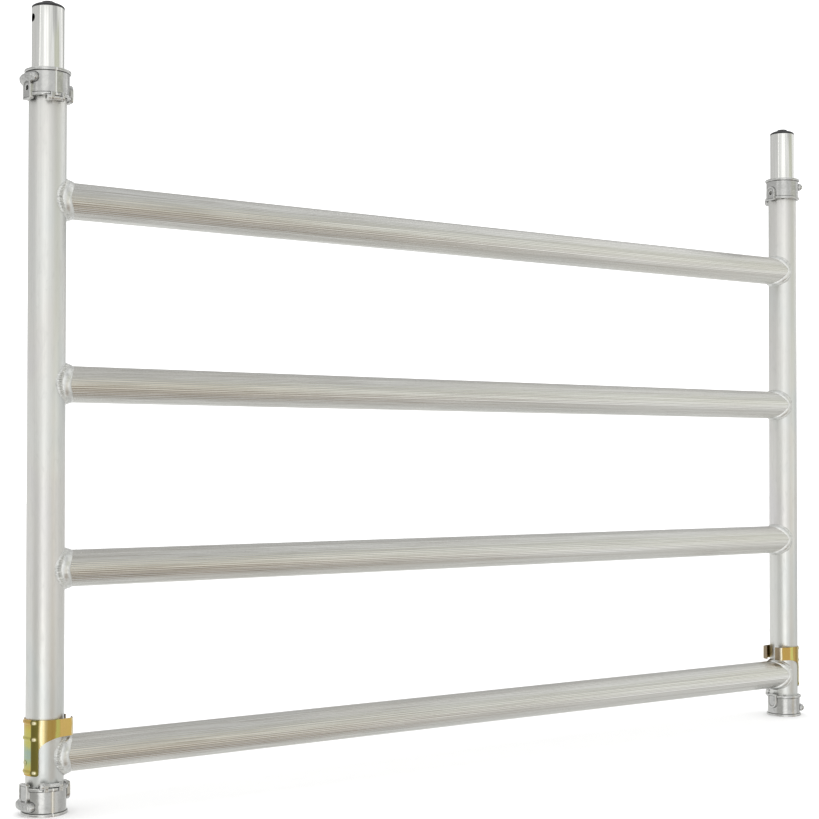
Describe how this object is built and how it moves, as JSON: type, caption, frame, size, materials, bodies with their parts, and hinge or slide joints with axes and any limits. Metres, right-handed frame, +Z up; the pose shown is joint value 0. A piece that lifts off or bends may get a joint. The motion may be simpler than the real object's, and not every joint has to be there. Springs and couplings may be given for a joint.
{
  "type": "scaffold frame section",
  "caption": "Aluminium scaffold tower end frame with welded reeded rungs, leg-top spigots, cast clamp collars and sprung interlock clips.",
  "frame": {"origin": "on the ground, midway between the two legs and on the plane of their axes", "axes": "+X along the rungs from the left leg to the right leg, +Y from front to rear through the frame's thickness, +Z up along the legs"},
  "size_m": [1.525, 0.0668, 1.0942],
  "materials": {
    "leg_aluminium": "drawn tube, satin, faint lengthwise die lines",
    "rung_aluminium": "extruded tube, satin, reeded lengthwise all round",
    "spigot_aluminium": "turned and polished, faint rings",
    "cast_aluminium": "die casting, fine grain, rounded edges",
    "weld_aluminium": "as-welded bead, rippled, semi-bright",
    "clip_spring_steel": "zinc plated, yellow passivated, iridescent gold and green",
    "lock_pin_steel": "zinc plated, pale yellow passivated",
    "fastener_steel": "bright zinc plated",
    "bung_plastic": "moulded black plastic, semi-matt"
  },
  "bodies": {
    "frame": {"left_clip_band": "clip_spring_steel", "left_foot_collar": "cast_aluminium", "left_foot_collar_screw": "fastener_steel", "left_leg": "leg_aluminium", "left_spigot": "spigot_aluminium", "left_spigot_bung": "bung_plastic", "left_spigot_pin": "fastener_steel", "left_top_collar": "cast_aluminium", "left_top_collar_screw": "fastener_steel", "right_clip_band": "clip_spring_steel", "right_foot_collar": "cast_aluminium", "right_foot_collar_screw": "fastener_steel", "right_leg": "leg_aluminium", "right_spigot": "spigot_aluminium", "right_spigot_bung": "bung_plastic", "right_spigot_pin": "fastener_steel", "right_top_collar": "cast_aluminium", "right_top_collar_screw": "fastener_steel", "rung_1": "rung_aluminium", "rung_1_welds": "weld_aluminium", "rung_2": "rung_aluminium", "rung_2_welds": "weld_aluminium", "rung_3": "rung_aluminium", "rung_3_welds": "weld_aluminium", "rung_4": "rung_aluminium", "rung_4_welds": "weld_aluminium"},
    "left_clip": {"left_clip_tongue": "clip_spring_steel", "left_clip_lock_pin": "lock_pin_steel"},
    "right_clip": {"right_clip_tongue": "clip_spring_steel", "right_clip_lock_pin": "lock_pin_steel"}
  },
  "joints": [
    {"name": "left_clip_release", "type": "hinge", "parent": "frame", "child": "left_clip", "pos_m": [-0.75155, 0, 0.1052], "axis": [0, 1, 0], "range_deg": [0, 12], "stiffness_Nm_per_rad": 6, "springref_deg": -1.72},
    {"name": "right_clip_release", "type": "hinge", "parent": "frame", "child": "right_clip", "pos_m": [0.75155, 0, 0.1052], "axis": [0, -1, 0], "range_deg": [0, 12], "stiffness_Nm_per_rad": 6, "springref_deg": -1.72}
  ]
}
